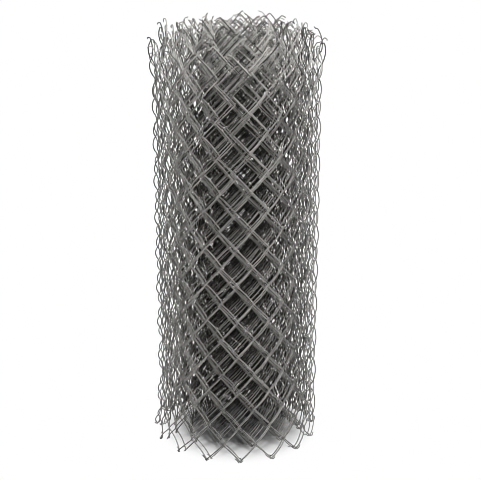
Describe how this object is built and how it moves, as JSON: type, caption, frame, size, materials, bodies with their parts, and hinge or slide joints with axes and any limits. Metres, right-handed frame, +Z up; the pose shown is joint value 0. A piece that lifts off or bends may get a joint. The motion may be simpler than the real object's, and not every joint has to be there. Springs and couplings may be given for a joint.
{
  "type": "roll of chain link fence fabric",
  "caption": "Galvanised chain link fence fabric in a roll that stands on end, knuckled along both edges, with an open core.",
  "frame": {"origin": "middle of the roll's foot, at the centre of its bounding box", "axes": "+Z up along the roll's axis, -Y towards the pictured side"},
  "size_m": [0.4, 0.405, 1.0448],
  "materials": {
    "galvanised_wire": "weathered hot-dip zinc"
  },
  "bodies": {
    "root": {"outer_picket_01": "galvanised_wire", "outer_picket_02": "galvanised_wire", "outer_picket_03": "galvanised_wire", "outer_picket_04": "galvanised_wire", "outer_picket_05": "galvanised_wire", "outer_picket_06": "galvanised_wire", "outer_picket_07": "galvanised_wire", "outer_picket_08": "galvanised_wire", "outer_picket_09": "galvanised_wire", "outer_picket_10": "galvanised_wire", "outer_picket_11": "galvanised_wire", "outer_picket_12": "galvanised_wire", "outer_picket_13": "galvanised_wire", "outer_picket_14": "galvanised_wire", "outer_picket_15": "galvanised_wire", "outer_picket_16": "galvanised_wire", "outer_picket_17": "galvanised_wire", "outer_picket_18": "galvanised_wire", "outer_picket_19": "galvanised_wire", "outer_picket_20": "galvanised_wire", "outer_picket_21": "galvanised_wire", "outer_picket_22": "galvanised_wire", "outer_picket_23": "galvanised_wire", "outer_picket_24": "galvanised_wire", "outer_picket_25": "galvanised_wire", "outer_picket_26": "galvanised_wire", "outer_picket_27": "galvanised_wire", "outer_picket_28": "galvanised_wire", "outer_picket_29": "galvanised_wire", "outer_picket_30": "galvanised_wire", "outer_picket_31": "galvanised_wire", "outer_picket_32": "galvanised_wire", "inward_picket_01": "galvanised_wire", "inward_picket_02": "galvanised_wire", "inward_picket_03": "galvanised_wire", "inward_picket_04": "galvanised_wire", "inward_picket_05": "galvanised_wire", "inward_picket_06": "galvanised_wire", "inward_picket_07": "galvanised_wire", "inward_picket_08": "galvanised_wire", "inward_picket_09": "galvanised_wire", "inward_picket_10": "galvanised_wire", "inward_picket_11": "galvanised_wire", "core_picket_01": "galvanised_wire", "core_picket_02": "galvanised_wire", "core_picket_03": "galvanised_wire", "core_picket_04": "galvanised_wire", "core_picket_05": "galvanised_wire", "core_picket_06": "galvanised_wire", "core_picket_07": "galvanised_wire"}
  },
  "joints": []
}
